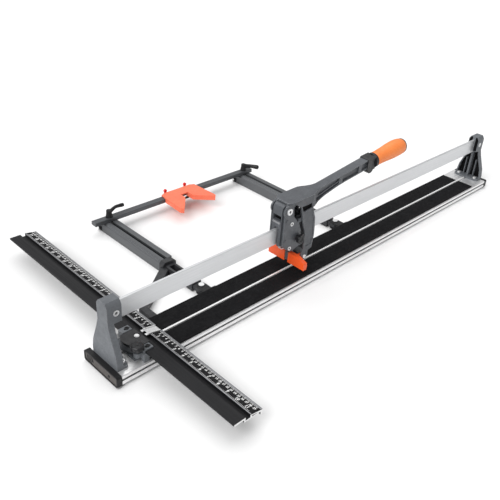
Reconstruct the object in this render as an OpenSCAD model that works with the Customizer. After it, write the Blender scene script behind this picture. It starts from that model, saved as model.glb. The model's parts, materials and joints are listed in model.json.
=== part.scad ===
// Manual tile cutter: aluminium base, raised flat guide rail, roller carriage with a
// scoring and breaking lever, swivelling fence, and two folding side arms that carry
// a cross bar with a V-shaped corner stop.
// Frame: X runs along the cutting line, Y across it (+Y is the side with the arms),
// Z is up. The origin is on the resting plane, below the middle of the base.

/* [Base] */
// Length of the base with its end caps
base_len = 1433; // [1300:1:1600]
// Width of the base
base_w = 112; // [108:1:130]
// Height of the bare base deck above the ground
deck_z = 27; // [26:0.5:30]
// Thickness of the rubber feet
feet_t = 3; // [2:0.5:5]
// Thickness of an end cap
cap_t = 12; // [8:1:16]
// Thickness of the sprung pads that carry the tile
pad_t = 3.8; // [3:0.1:5]
// Width of one pad
pad_w = 48; // [40:1:50]

/* [Rail] */
// Thickness of the flat guide rail
rail_t = 7; // [6:0.5:8]
// Height of the guide rail's section
rail_h = 42; // [38:1:44]
// Height of the rail's lower edge above the ground
rail_z = 117.25; // [116:0.25:122]

/* [Fence] */
// Length of the fence on the side of the arms, from its pivot
fence_long = 497; // [400:1:560]
// Length of the fence on the other side, from its pivot
fence_short = 298; // [250:1:400]
// Position of the fence's pivot along the base
fence_pivot_x = -629.5; // [-632:0.5:-625]

/* [Carriage] */
// Position of the lever's pivot along the rail
pivot_x = -224.5; // [-260:0.5:-200]
// Height of the lever's pivot above the ground
pivot_z = 206; // [205:0.5:208]
// Radius of a rail roller
roller_r = 11; // [10:0.5:11]
// Radius of the scoring wheel
wheel_r = 9.5; // [7:0.5:9.5]

/* [Side arms] */
// Distance between the two folding arms
arm_pitch = 492.5; // [440:0.5:520]
// Position of the near arm along the base
arm_x = -388.5; // [-400:0.5:-370]
// Length of an arm's aluminium profile
arm_len = 256; // [230:1:280]
// Distance from the base's centre line to an arm's hinge pin
arm_pin_y = 82; // [80:1:90]
// Distance of the cross bar from the base's centre line
bar_y = 454; // [430:1:460]

/* [Hidden] */
$fn = 48;

// Running clearance on a radius, and the gap left between pieces that move
run = 0.05;
gap = 0.3;

// Base
half_len = base_len / 2;
half_w = base_w / 2;
prof_x = half_len - cap_t;
pad_in = 4.2;
pad_x0 = -573;
pad_x1 = 626.5;
groove_z = 18;

// Supports: a foot on the deck, a neck that takes the rail
sup_d = 32;
sup_wall_d = 14;
sup_top = 170;
sup_neck_z = 122;
sup_neck = 17;
sup_bolt_x = prof_x - 20;
sup_bolt_z = 144;
foot_bolt_x = prof_x - 21;
rail_end = prof_x - 7.5;
bolt_y = 28;

// Fence section, heights above the ground
fence_back = fence_pivot_x - 14;
fence_face = fence_pivot_x + 55;
strip_back = fence_pivot_x + 25;
strip_front_z = 44.2;
strip_back_z = 50;
strip_t = 1.6;
flange_z = 50;
flange_t = 4;
sector_r = 33;
knob_at = [fence_pivot_x - 24, -35];
ear_t = 3;
ear_x = fence_back + 11;
ear_y = [-40, 30];

// Carriage, in its own frame: u along the rail and w up, from the lever's pivot
col_half = 14;
cheek_in = 18;
cheek_out = 22;
skirt_in = 22.5;
skirt_out = 26.5;
rail_top_w = rail_z + rail_h - pivot_z;
rail_bot_w = rail_z - pivot_z;
roll_up_w = rail_top_w + roller_r + gap;
roll_low_w = rail_bot_w - roller_r - gap;
roll_front_u = 12;
roll_rear_u = 80;
axle_r = 4;
spacer_r = 5.5;
foot_u = 65;
foot_w = -140;
axle_u = 51;
axle_w = -142;
knob_u = 38;
knob_w = -80;

// Lever arm and grip
arm_half = 12;
grip_u = 336;
grip_len = 122;
grip_rise = 5.1;
end_drop = 5.4;

// Side arms
arm_w = 38;
arm_z = 0.3;
arm_h = 30.5;
arm_top = arm_z + arm_h;
arm_y0 = 215;
arm_y1 = arm_y0 + arm_len;
bar_z = arm_top + 0.4;
bar_h = 10.6;
bar_w = 20;
bar_top = bar_z + bar_h;
bar_x0 = arm_x - 48;
bar_x1 = arm_x + arm_pitch + 28;
stop_z0 = arm_top + 0.7;
stop_z1 = 46;
stop_x = -149.5;
screw_dx = [-36, 35];

casting = [0.46, 0.48, 0.50];
dark_casting = [0.30, 0.31, 0.33];
black = [0.10, 0.10, 0.11];
silver = [0.78, 0.79, 0.80];
orange = [0.95, 0.36, 0.12];
light_orange = [1.0, 0.55, 0.32];

// ---- Helpers ----

// A block between two corners
module block(lo, hi) {
    translate(lo) cube(hi - lo);
}

// An outline in Y and Z, extruded along X
module along_x(points, x0, x1) {
    translate([x0, 0, 0]) rotate([90, 0, 90]) linear_extrude(x1 - x0) polygon(points);
}

// An outline in X and Z, extruded along Y
module along_y(points, y0, y1) {
    translate([0, y1, 0]) rotate([90, 0, 0]) linear_extrude(y1 - y0) polygon(points);
}

// A rod along each axis
module rod_x(y, z, x0, x1, r) {
    translate([x0, y, z]) rotate([0, 90, 0]) cylinder(h = x1 - x0, r = r);
}
module rod_y(x, z, y0, y1, r) {
    translate([x, y1, z]) rotate([90, 0, 0]) cylinder(h = y1 - y0, r = r);
}
module rod_z(x, y, z0, z1, r) {
    translate([x, y, z0]) cylinder(h = z1 - z0, r = r);
}

// A hexagon or star socket cut
module socket_y(x, z, y0, y1, r) {
    translate([x, y1, z]) rotate([90, 0, 0]) cylinder(h = y1 - y0, r = r, $fn = 6);
}

// Puts a child at the lever's pivot, where the carriage's pieces are drawn
module at_pivot() {
    translate([pivot_x, 0, pivot_z]) children();
}

// Repeats a child on both sides of the cutting line
module both_sides() {
    children();
    mirror([0, 1, 0]) children();
}

// Repeats a child at both ends of the base
module both_ends() {
    children();
    mirror([1, 0, 0]) children();
}

// ---- Base ----

function base_outline() = [[-half_w + 4, feet_t], [half_w - 4, feet_t], [half_w, feet_t + 4],
    [half_w, groove_z - 3], [half_w - 5, groove_z - 3], [half_w - 5, groove_z + 2],
    [half_w, groove_z + 2], [half_w, deck_z - 1], [half_w - 1, deck_z],
    [pad_in, deck_z], [pad_in, deck_z - 4], [-pad_in, deck_z - 4], [-pad_in, deck_z],
    [-half_w + 1, deck_z], [-half_w, deck_z - 1], [-half_w, groove_z + 2],
    [-half_w + 5, groove_z + 2], [-half_w + 5, groove_z - 3], [-half_w, groove_z - 3],
    [-half_w, feet_t + 4]];

module base_extrusion() {
    chamber_w = 38;
    color(silver) difference() {
        along_x(base_outline(), -prof_x, prof_x);
        both_sides() block([-half_len, 9, feet_t + 3], [half_len, 9 + chamber_w, deck_z - 4]);
        for (x = [-foot_bolt_x, foot_bolt_x], y = [-bolt_y, bolt_y])
            rod_z(x, y, deck_z - 5, deck_z + 1, 3.1);
    }
}

module breaking_rib() {
    half_t = 2.3;
    top = deck_z + pad_t + 0.4;
    color(silver) along_x([[-3, deck_z - 4], [3, deck_z - 4], [3, deck_z - 2], [half_t, deck_z],
        [half_t, top], [-half_t, top], [-half_t, deck_z], [-3, deck_z - 2]], pad_x0, 668);
}

// One sprung pad; its edges are bevelled
module pad_front() {
    color(black) along_x([[-pad_in, deck_z], [-pad_in - pad_w, deck_z],
        [-pad_in - pad_w, deck_z + pad_t - 1], [-pad_in - pad_w + 1, deck_z + pad_t],
        [-pad_in, deck_z + pad_t]], pad_x0, pad_x1);
}
module pad_rear() {
    color(black) mirror([0, 1, 0]) pad_front();
}

// End cap: a plate with a recessed panel and a raised rim
module end_cap_far() {
    rim = 3;
    cap_half = half_w + 0.8;
    cap_top = deck_z + 1;
    color(black) difference() {
        along_x([[-cap_half, feet_t + 3], [-cap_half + 3, feet_t], [cap_half - 3, feet_t],
            [cap_half, feet_t + 3], [cap_half, cap_top - 3], [cap_half - 3, cap_top],
            [-cap_half + 3, cap_top], [-cap_half, cap_top - 3]], prof_x, half_len);
        block([half_len - 2, -cap_half + rim, feet_t + rim], [half_len + 1, cap_half - rim,
            cap_top - rim]);
        both_sides() rod_x(28, 15, prof_x - 1, half_len, 2.2);
    }
}
module end_cap_near() {
    mirror([1, 0, 0]) end_cap_far();
}

// Rubber strips across the underside, one of them under the middle
module base_feet() {
    strip_r = 18;
    strip_y = 30;
    color(black) for (x = [-640 : 320 : 640]) {
        block([x - strip_r, -strip_y, 0], [x + strip_r, strip_y, feet_t]);
        both_sides() rod_z(x, strip_y, 0, feet_t, strip_r);
    }
}

// ---- Supports and rail ----

// Outline of a support seen along the rail, drawn in by a wall thickness
function support_outline(t) = [[-41 + t, deck_z], [-41.5 + t, 40], [-38 + t, 62], [-31 + t, 81],
    [-22.4 + t, 103.5], [-sup_neck + t, sup_neck_z], [sup_neck - t, sup_neck_z],
    [22.4 - t, 103.5], [31 - t, 81], [38 - t, 62], [41.5 - t, 40], [41 - t, deck_z]];

function neck_outline() = [[-sup_neck, sup_neck_z], [-sup_neck, 160], [-13, 167], [-10, sup_top],
    [10, sup_top], [13, 167], [sup_neck, 160], [sup_neck, sup_neck_z]];

module support_far() {
    x1 = prof_x;
    x0 = prof_x - sup_d;
    wall = 4;
    flange_top = deck_z + 6;
    front_r = 120;
    corner_r = 10;
    color(casting) difference() {
        union() {
            difference() {
                along_x(support_outline(0), x1 - sup_wall_d, x1);
                along_x(support_outline(wall), x1 - sup_wall_d - 1, x1 - wall);
            }
            // inner ribs
            block([x1 - 20, -3, deck_z], [x1 - 1, 3, sup_neck_z]);
            for (y = [-16, 16]) block([x1 - sup_wall_d, y - 1.2, deck_z], [x1 - 1, y + 1.2, 90]);
            // neck
            along_x(neck_outline(), x0, x1);
            // foot flange with a curved front
            intersection() {
                hull() for (y = [-41 + corner_r, 41 - corner_r]) {
                    rod_z(x0 + corner_r, y, deck_z, flange_top, corner_r);
                    block([x1 - 1, y - corner_r, deck_z], [x1, y + corner_r, flange_top]);
                }
                rod_z(x0 + front_r, 0, deck_z, flange_top, front_r);
            }
        }
        // rail pocket
        block([x0 - 1, -rail_t / 2, rail_z], [rail_end, rail_t / 2, rail_z + rail_h]);
        // cross bolt and foot bolts
        rod_y(sup_bolt_x, sup_bolt_z, -sup_neck - 1, sup_neck + 1, 4.1);
        rod_y(sup_bolt_x, sup_bolt_z, -sup_neck - 1, -sup_neck + 4, 6.6);
        rod_y(sup_bolt_x, sup_bolt_z, sup_neck - 4, sup_neck + 1, 6.6);
        both_sides() rod_z(foot_bolt_x, bolt_y, deck_z - 1, sup_neck_z - 30, 3.1);
    }
}
module support_near() {
    mirror([1, 0, 0]) support_far();
}

module rail() {
    color(silver) difference() {
        along_x([[-rail_t / 2, rail_z + 0.8], [-rail_t / 2 + 0.8, rail_z],
            [rail_t / 2 - 0.8, rail_z], [rail_t / 2, rail_z + 0.8],
            [rail_t / 2, rail_z + rail_h - 0.8], [rail_t / 2 - 0.8, rail_z + rail_h],
            [-rail_t / 2 + 0.8, rail_z + rail_h], [-rail_t / 2, rail_z + rail_h - 0.8]],
            -rail_end, rail_end);
        both_ends() rod_y(sup_bolt_x, sup_bolt_z, -rail_t, rail_t, 4.1);
    }
}

// Cross bolts that hold the rail, each with a socket head and a nut
module rail_bolts() {
    color(silver) both_ends() difference() {
        union() {
            rod_y(sup_bolt_x, sup_bolt_z, -sup_neck + 1, sup_neck - 1, 4);
            rod_y(sup_bolt_x, sup_bolt_z, -sup_neck - 0.6, -sup_neck + 4, 6.5);
            rod_y(sup_bolt_x, sup_bolt_z, sup_neck - 4, sup_neck - 0.5, 6.5);
        }
        socket_y(sup_bolt_x, sup_bolt_z, -sup_neck - 2, -sup_neck + 2.5, 3.4);
    }
}

// Foot bolts of the supports
module support_bolts() {
    top = deck_z + 6;
    color(silver) both_ends() both_sides() difference() {
        union() {
            rod_z(foot_bolt_x, bolt_y, deck_z - 4, top, 3);
            rod_z(foot_bolt_x, bolt_y, top, top + 4, 5.2);
        }
        translate([foot_bolt_x, bolt_y, top + 1.5]) cylinder(h = 4, r = 2.9, $fn = 6);
    }
}

// ---- Fence ----

// Steel plate on the deck that the fence turns on
module fence_pivot_plate() {
    top = deck_z + 8;
    color(casting) difference() {
        union() {
            block([fence_pivot_x - 32, -36, deck_z], [fence_pivot_x + 30, 36, deck_z + 5]);
            rod_z(fence_pivot_x, 0, deck_z, top, 30);
        }
        rod_z(fence_pivot_x, 0, deck_z - 1, top + 1, 4.1);
        both_sides() rod_z(fence_pivot_x + 22, 30, deck_z - 1, top, 2.6);
    }
}

module fence_pin() {
    pin_r = 4;
    head_z = flange_z + 0.4;
    color(silver) {
        rod_z(fence_pivot_x, 0, deck_z, head_z, pin_r);
        rod_z(fence_pivot_x, 0, head_z, head_z + 2, 5.4);
        rod_z(fence_pivot_x, 0, head_z + 2, head_z + 3, 4.2);
    }
}

// Fence section: clamp flange, groove and sloping seat for the scales
module fence_profile() {
    seat_t = strip_back_z - strip_t;
    front_t = strip_front_z - strip_t;
    low = 39.6;
    lip = 32.2;
    y0 = -fence_short;
    y1 = fence_long;
    back = fence_pivot_x + 10;
    color(black) difference() {
        along_y([[fence_back, flange_z], [fence_back, flange_z - flange_t],
            [back, flange_z - flange_t], [back, low], [fence_face - 4, low],
            [fence_face - 4, lip], [fence_face, lip], [fence_face, front_t],
            [strip_back, seat_t], [strip_back, 42.5], [strip_back - 12, 42.5],
            [strip_back - 12, flange_z]], y0, y1);
        // hollow chamber under the seat
        along_y([[strip_back + 4, low + 2.4], [fence_face - 12, low + 2.4],
            [fence_face - 12, seat_t - 5.7], [strip_back + 4, seat_t - 3]], y0 - 1, y1 + 1);
        rod_z(fence_pivot_x, 0, flange_z - 10, flange_z + 1, 4.1);
        for (y = ear_y) rod_z(ear_x, y, flange_z - 10, flange_z + 1, 2.6);
    }
}

// Two printed scale strips on the sloping seat, either side of the zero mark
module fence_scales() {
    pts = [[fence_face, strip_front_z - strip_t], [fence_face, strip_front_z],
        [strip_back, strip_back_z], [strip_back, strip_back_z - strip_t]];
    color(black) {
        along_y(pts, -fence_short, -11);
        along_y(pts, 11, fence_long);
    }
}

// Bright channel that marks the cutting line on the fence
module fence_zero_bracket() {
    x0 = fence_pivot_x + 22;
    x1 = fence_face - 2;
    slope = (strip_back_z - strip_front_z) / (fence_face - strip_back);
    top0 = strip_back_z + 2.4;
    top1 = top0 - slope * (x1 - x0);
    floor0 = strip_back_z - strip_t + slope * 3;
    floor1 = floor0 - slope * (x1 - x0);
    color(silver) {
        along_y([[x0, floor0], [x1, floor1], [x1, floor1 + 1.6], [x0, floor0 + 1.6]], -10, 10);
        both_sides() along_y([[x0, floor0], [x1, floor1], [x1, top1], [x0, top0]], 8.4, 10);
        both_sides() block([x0 - 6, 4, floor0 + 0.2], [x0, 10, floor0 + 1.6]);
    }
}

// Grey casting under the fence's flange, with two slotted ears that wrap over it
module fence_saddle() {
    top = flange_z - flange_t;
    bottom = deck_z + 8 + gap;
    color(casting) difference() {
        union() {
            block([fence_back - 1, -48, bottom], [fence_pivot_x + 9.7, 38, top]);
            rod_z(fence_pivot_x, 0, bottom, top, 34);
            // lug for the clamping knob
            hull() for (x = [knob_at[0], fence_back + 4]) rod_z(x, knob_at[1], bottom, top, 8);
            // skirt that runs down beside the pivot plate
            block([fence_back - 6, -52, deck_z + 0.6], [fence_back + 6, -40, top]);
            // ears
            for (y = ear_y) {
                block([fence_back - 4, y - 8, bottom], [fence_back, y + 8, flange_z + ear_t]);
                block([fence_back - 4, y - 8, flange_z], [ear_x + 8, y + 8, flange_z + ear_t]);
            }
        }
        rod_z(fence_pivot_x, 0, bottom - 1, top + 1, 4 + run);
        // room for the fence's own profile
        block([fence_pivot_x + 9.9, -60, bottom - 1], [fence_face, 60, flange_z + 5]);
        // slots
        for (y = ear_y) {
            block([ear_x - 4, y - 2.6, flange_z - 1], [ear_x + 4, y + 2.6,
                flange_z + ear_t + 1]);
            for (dx = [-4, 4]) rod_z(ear_x + dx, y, flange_z - 1, flange_z + ear_t + 1, 2.6);
            rod_z(ear_x, y, bottom - 1, flange_z, 2.6);
        }
        rod_z(knob_at[0], knob_at[1], bottom - 1, flange_z, 3.6);
    }
}

// Black quadrant above the flange; its round edge shows the swivel
module fence_sector() {
    t = 2.6;
    color(black) difference() {
        intersection() {
            rod_z(fence_pivot_x, 0, flange_z, flange_z + t, sector_r);
            block([fence_pivot_x - 40, -30, flange_z], [fence_pivot_x + 9, 21, flange_z + t]);
        }
        rod_z(fence_pivot_x, 0, flange_z - 1, flange_z + t + 1, 7);
    }
}

// Screws through the ears' slots
module fence_screws() {
    z = flange_z + ear_t;
    color(silver) for (y = ear_y) difference() {
        union() {
            rod_z(ear_x, y, flange_z - 9, z, 2.5);
            rod_z(ear_x, y, z, z + 2, 4.2);
        }
        translate([ear_x, y, z + 0.8]) cylinder(h = 2, r = 2.2, $fn = 6);
    }
}

// Lobed clamping knob with its screw
module fence_knob() {
    z0 = flange_z + ear_t + gap;
    lobes = 6;
    color(black) {
        translate([knob_at[0], knob_at[1], 0]) {
            rod_z(0, 0, deck_z + 8 + gap, z0, 3.5);
            rod_z(0, 0, z0, z0 + 9, 12.5);
            for (i = [0 : lobes - 1]) rotate([0, 0, i * 360 / lobes])
                rod_z(10.5, 0, z0 + 1, z0 + 8, 4.5);
            translate([0, 0, z0 + 9]) rotate_extrude() intersection() {
                translate([0, -14]) circle(r = 17.5);
                square([12, 6]);
            }
        }
    }
}

// ---- Carriage ----

// Front column: straddles the rail and holds the lever's hinge
module carriage_column() {
    back = 6;
    front = -15;
    low = -90;
    window_half = 12;
    wall_top = -30;
    color(dark_casting) at_pivot() difference() {
        union() {
            along_y([[front, low], [front, 6], [front + 3, 11], [front + 9, 14], [back, 14],
                [back, low]], -col_half, col_half);
            both_sides() block([-9, col_half, -88], [5, cheek_in, -14]);
            // inner walls on either side of the rail
            both_sides() block([back - 1, 9, -88], [86, 13, wall_top]);
        }
        // slot for the rail, and room for the front rollers
        block([front - 1, -5, low - 1], [back + 1, 5, rail_top_w + 3.7]);
        for (w = [roll_up_w, roll_low_w]) rod_y(roll_front_u, w, -5, 5, roller_r + 1.5);
        for (u = [roll_front_u, roll_rear_u], w = [roll_up_w, roll_low_w])
            rod_y(u, w, -col_half, col_half, spacer_r + run);
        rod_y(knob_u, knob_w, -col_half, col_half, 4.1);
        // window and the groove of the bright bar
        block([front - 1, -window_half, -25.5], [front + 9, window_half, -12]);
        rod_y(front, -30.5, -window_half, window_half, 2.7);
        // hinge bolt and plate screws
        rod_y(0, 0, -col_half - 1, col_half + 1, 5 + run);
        for (w = [-24, -76]) rod_y(-4, w, -cheek_in - 1, cheek_in + 1, 2.6);
    }
}

module column_bar() {
    color(silver) at_pivot() rod_y(-15, -30.5, -11.7, 11.7, 2.6);
}

// Side plate of the carriage, with arms that reach back to the rear rollers
module cheek_rear() {
    round_r = 16;
    color(dark_casting) at_pivot() difference() {
        union() {
            rod_y(0, 0, cheek_in, cheek_out, round_r);
            along_y([[-12, -2], [-12, -88], [2, -101], [15, -110], [28, -110], [42, -105],
                [50, -88], [49, -66], [39, -43], [19, -20], [round_r, -2]],
                cheek_in, cheek_out);
            for (w = [roll_up_w, roll_low_w]) {
                rod_y(roll_rear_u, w, cheek_in, cheek_out, 6.5);
                block([36, cheek_in, w - 5], [roll_rear_u, cheek_out, w + 5]);
            }
            block([70, cheek_in, roll_low_w], [81, cheek_out, roll_up_w]);
        }
        rod_y(0, 0, cheek_in - 1, cheek_out + 1, 5 + run);
        for (u = [roll_front_u, roll_rear_u], w = [roll_up_w, roll_low_w])
            rod_y(u, w, cheek_in - 1, cheek_out + 1, axle_r + run);
        for (w = [-24, -76]) rod_y(-4, w, cheek_in - 1, cheek_out + 1, 2.6);
        rod_y(knob_u, knob_w, cheek_in - 1, cheek_out + 1, 4.1);
        rod_y(-12.5, 10, cheek_in - 1, cheek_out + 1, 1.6);
    }
}
module cheek_front() {
    mirror([0, 1, 0]) cheek_rear();
}

module hinge_bolt() {
    color(silver) at_pivot() difference() {
        union() {
            rod_y(0, 0, -cheek_out, cheek_out, 5);
            rod_y(0, 0, -cheek_out - 3, -cheek_out, 8);
            rod_y(0, 0, cheek_out, cheek_out + 3, 8);
        }
        socket_y(0, 0, -cheek_out - 4, -cheek_out - 1, 4);
    }
}

// Axles of the four rollers; the front pair has heads, the rear pair ends flush
module roller_axles() {
    color(silver) at_pivot() {
        for (w = [roll_up_w, roll_low_w]) {
            difference() {
                union() {
                    rod_y(roll_front_u, w, -cheek_out, cheek_out, axle_r);
                    rod_y(roll_front_u, w, -cheek_out - 2, -cheek_out, 4.8);
                    rod_y(roll_front_u, w, cheek_out, cheek_out + 2, 4.8);
                }
                socket_y(roll_front_u, w, -cheek_out - 3, -cheek_out - 0.5, 3);
            }
            rod_y(roll_rear_u, w, -cheek_out, cheek_out, axle_r);
            both_sides() for (u = [roll_front_u, roll_rear_u]) difference() {
                rod_y(u, w, rail_t / 2 + 0.4, cheek_in, spacer_r);
                rod_y(u, w, rail_t / 2, cheek_in + 1, axle_r - 1);
            }
        }
    }
}

// Small screws that hold the side plates to the column
module cheek_screws() {
    color(silver) at_pivot() for (w = [-24, -76]) both_sides() {
        rod_y(-4, w, 6, cheek_out, 2.5);
        rod_y(-4, w, cheek_out, cheek_out + 1.6, 4);
    }
}

// Ball bearing roller on the rail
module rail_roller(u, w) {
    half_t = 3.5;
    color(silver) at_pivot() difference() {
        rod_y(u, w, -half_t, half_t, roller_r);
        rod_y(u, w, -half_t - 1, half_t + 1, axle_r + run);
        both_sides() difference() {
            rod_y(u, w, half_t - 0.5, half_t + 1, roller_r - 2);
            rod_y(u, w, half_t - 1, half_t + 2, axle_r + 2);
        }
    }
}
module roller_upper_front() { rail_roller(roll_front_u, roll_up_w); }
module roller_upper_rear() { rail_roller(roll_rear_u, roll_up_w); }
module roller_lower_front() { rail_roller(roll_front_u, roll_low_w); }
module roller_lower_rear() { rail_roller(roll_rear_u, roll_low_w); }

// Fluted knob that locks the carriage on the rail
module lock_knob() {
    r = 11;
    flutes = 9;
    y = -cheek_out - 0.4;
    color(black) at_pivot() translate([knob_u, y, knob_w]) rotate([90, 0, 0]) difference() {
        union() {
            translate([0, 0, -17]) cylinder(h = 18, r = 4);
            cylinder(h = 3.5, r = 8);
            translate([0, 0, 3]) cylinder(h = 10, r = r);
        }
        for (i = [0 : flutes - 1]) rotate([0, 0, i * 360 / flutes])
            translate([r + 1.1, 0, 3.5]) cylinder(h = 12, r = 2.2, $fn = 16);
        translate([0, 0, 11.5]) cylinder(h = 3, r = 5.5);
    }
}

// ---- Lever ----

// Plan of the hood: wide over the side plates, narrowing to the arm
hood_plan = [[-3, -18], [9, -skirt_out], [76, -skirt_out], [84, -23.3], [97, -17.5], [111, -13.2],
    [124, -arm_half], [150, -arm_half], [150, arm_half], [124, arm_half], [111, 13.2],
    [97, 17.5], [84, 23.3], [76, skirt_out], [9, skirt_out],
    [-3, 18]];

// Side view of the hood, above the skirts
hood_side = [[-3, 16.5], [-2, 19.5], [2, 21], [125, 22], [150, 25.2], [150, -1],
    [137, -4], [114, -11.5], [104, -14.5], [93, -16], [79, -12], [41.5, -17], [36, 1],
    [13, 16.5]];

// Side view of a skirt, from the hood down to the foot bolt
skirt_side = [[36, 1], [41.5, -17], [46, -36], [51, -53], [57, -66], [60, -79], [60, -121],
    [55, -128], [53, -143], [58, -149], [72, -149], [78, -143], [78, -128], [91, -124],
    [94.5, -92], [94, -75], [90.6, -43.5], [79, -12], [79, 1]];

// Heights of the arm's upper and lower edge
function arm_up(u) = 25.2 + 0.1237 * (u - 150);
function arm_low(u) = 20.8 - 0.1108 * (310 - u);

// Side view of the arm
arm_side = [[118, 21.9], [125, 22], [150, arm_up(150)], [310, arm_up(310)],
    [310, arm_low(310)], [208, arm_low(208)], [185, 6.2], [161, 1.3], [137, -4],
    [118, -10.4]];

module lever_casting() {
    roof = 16.5;
    recess = 5;
    cavity = 82;
    color(dark_casting) at_pivot() difference() {
        union() {
            difference() {
                intersection() {
                    along_y(hood_side, -40, 40);
                    translate([0, 0, -40]) linear_extrude(80) polygon(hood_plan);
                }
                block([-10, -skirt_in, -40], [cavity, skirt_in, roof]);
            }
            along_y(arm_side, -arm_half, arm_half);
            both_sides() {
                along_y(skirt_side, skirt_in, skirt_out);
                // pivot lugs between the column and the side plates
                rod_y(0, 0, 14.3, 17.7, 10);
                along_y([[-9, 4], [-3, 17], [46, 17], [24, 4], [8, -6]], 14.3, 17.7);
            }
        }
        both_sides() {
            rod_y(0, 0, 13, 19, 5 + run);
            // window above each skirt
            along_y([[38.5, 1.5], [73.5, 1.5], [76.5, -11], [45, -14.5]], skirt_in - 0.5, 40);
            // shallow panel in each skirt
            along_y([[66, -114], [65, -79], [62, -62], [56, -48], [49, -20], [77, -17],
                [86, -43], [89.5, -75], [90, -92], [86.5, -114]], skirt_out - 1.5, 40);
            // arched recess at the root of the arm, with a rib across it
            difference() {
                along_y([[99, -9], [97, 3], [106, 11.5], [118, 16.5], [132, 20], [155, 23.6],
                    [184, 27.2], [187, 24], [187, 11.5], [161, 4.6], [137, -0.8], [114, -8]],
                    arm_half - recess, 40);
                along_y([[96, -4], [190, 16.4], [190, 18.6], [96, -1.8]], 0, arm_half - 2);
            }
            // recessed panels in the arm's sides
            for (p = [[199, 262], [273, 300]])
                along_y([[p[0], arm_low(p[0]) + 3], [p[1], arm_low(p[1]) + 3],
                    [p[1], arm_up(p[1]) - 2.4], [p[0], arm_up(p[0]) - 2.4]],
                    arm_half - recess, arm_half + 1);
        }
        rod_y(foot_u, foot_w, -40, 40, 4 + run);
    }
}

// Places a child on the grip's own axis, which starts at the collar
module on_grip_axis() {
    at_pivot() translate([grip_u, 0, 31]) rotate([0, 90 - grip_rise, 0]) children();
}

// Collar: a sleeve over the arm's end, a round flange against the grip and a hook below
module lever_collar() {
    gap_up = 0.2;
    sleeve_half = 14;
    color(black) difference() {
        union() {
            on_grip_axis() translate([0, 0, -9]) cylinder(h = 9, r = 19.5);
            at_pivot() {
                along_y([[296, 44.6], [301, 46.2], [329, 48], [329, 14], [318, 12], [304, 14],
                    [296, 18]], -sleeve_half, sleeve_half);
                along_y([[311, 15], [330, 18], [332, 6], [327, 0.5], [317, 0], [311, 5]],
                    -7, 7);
            }
        }
        at_pivot() along_y([[280, arm_up(280) + gap_up], [310.2, arm_up(310) + gap_up],
            [310.2, arm_low(310) - gap_up], [280, arm_low(280) - gap_up]],
            -arm_half - 0.1, arm_half + 0.1);
    }
}

// Grip: a turned handle that swells, and tapers to a flat end set low on its axis
module lever_grip() {
    swell_end = 97;
    color(orange) on_grip_axis() {
        rotate_extrude() polygon([[0, 0], [17.6, 0], [18.2, 4], [18.6, 20], [19.6, 40],
            [20.9, 58], [22, 74], [22.4, 86], [22.1, swell_end], [0, swell_end]]);
        hull() for (p = [[0, swell_end, 22.1], [1.2, 110, 20.8], [end_drop, grip_len, 16.2]])
            translate([p[0], 0, p[1] - 0.2]) cylinder(h = 0.2, r = p[2]);
    }
}

module grip_cap() {
    color(black) on_grip_axis() translate([end_drop, 0, grip_len]) rotate_extrude() union() {
        square([16, 2]);
        square([14, 3]);
    }
}

// Block between the skirts that holds the scoring wheel in a fork
module wheel_holder() {
    color(dark_casting) at_pivot() difference() {
        union() {
            block([58, -15.5, -146], [80, 15.5, -133]);
            block([73, -skirt_in + 0.1, -145], [78, skirt_in - 0.1, -133]);
            both_sides() {
                rod_y(axle_u, axle_w, 1.3, 4.9, 5.5);
                block([33, 1.3, axle_w - 3], [60, 4.9, axle_w + 5.5]);
            }
            // nose in front of the wheel
            block([32, -4.9, axle_w - 7], [35, 4.9, axle_w + 15]);
        }
        rod_y(foot_u, foot_w, -40, 40, 4 + run);
        rod_y(axle_u, axle_w, -6, 6, 2 + run);
        rod_y(axle_u, axle_w, -1.3, 1.3, wheel_r + 0.8);
    }
}

module foot_bolt() {
    color(silver) at_pivot() {
        rod_y(foot_u, foot_w, -skirt_out, skirt_out, 4);
        both_sides() rod_y(foot_u, foot_w, skirt_out, skirt_out + 2.6, 5);
    }
}

module wheel_axle() {
    color(silver) at_pivot() rod_y(axle_u, axle_w, -4.9, 4.9, 2);
}

// Scoring wheel with a sharp rim
module scoring_wheel() {
    color(silver) at_pivot() translate([axle_u, 0, axle_w]) rotate([90, 0, 0])
        rotate_extrude() polygon([[2 + run, -1], [wheel_r - 1.6, -1], [wheel_r, 0],
            [wheel_r - 1.6, 1], [2 + run, 1]]);
}

// Breaker foot: a plate in two wings that press on the tile either side of the score,
// with lugs on the foot bolt and a bridge behind the scoring wheel
module breaker_foot() {
    front = 31;
    back = 42;
    low = -153.5;
    lug_r = 6.2;
    color(orange) at_pivot() difference() {
        both_sides() {
            along_x([[5.5, low], [57, low], [57, low + 18], [34, low + 27],
                [5.5, low + 27]], front, back);
            along_x([[5.5, low], [52, low], [52, low + 6], [5.5, low + 6]], back - 1, 50);
            along_y([[back - 1, low], [back - 1, -135], [foot_u, foot_w + lug_r],
                [foot_u + 4, foot_w], [foot_u + 4, low]], 16, 21.8);
            rod_y(foot_u, foot_w, 16, 21.8, lug_r);
            block([foot_u - 4, -1, low], [foot_u + 4, 21, low + 4]);
        }
        rod_y(foot_u, foot_w, -40, 40, 4 + run);
        rod_y(axle_u, axle_w, -5.6, 5.6, wheel_r + 2.5);
    }
}

// ---- Side arms ----

// Fixed hinge blocks in the base's side groove
module arm_hinge_blocks() {
    ear_r = 12;
    color(black) for (x = [arm_x, arm_x + arm_pitch]) difference() {
        union() {
            for (z = [[3.4, 8], [19, 23.6]]) {
                block([x - ear_r, half_w, z[0]], [x + ear_r, arm_pin_y, z[1]]);
                rod_z(x, arm_pin_y, z[0], z[1], ear_r);
            }
            block([x - 24, half_w, 3.4], [x + 24, half_w + 5, 23.6]);
        }
        rod_z(x, arm_pin_y, 0, 30, 5 + run);
    }
}

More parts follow.
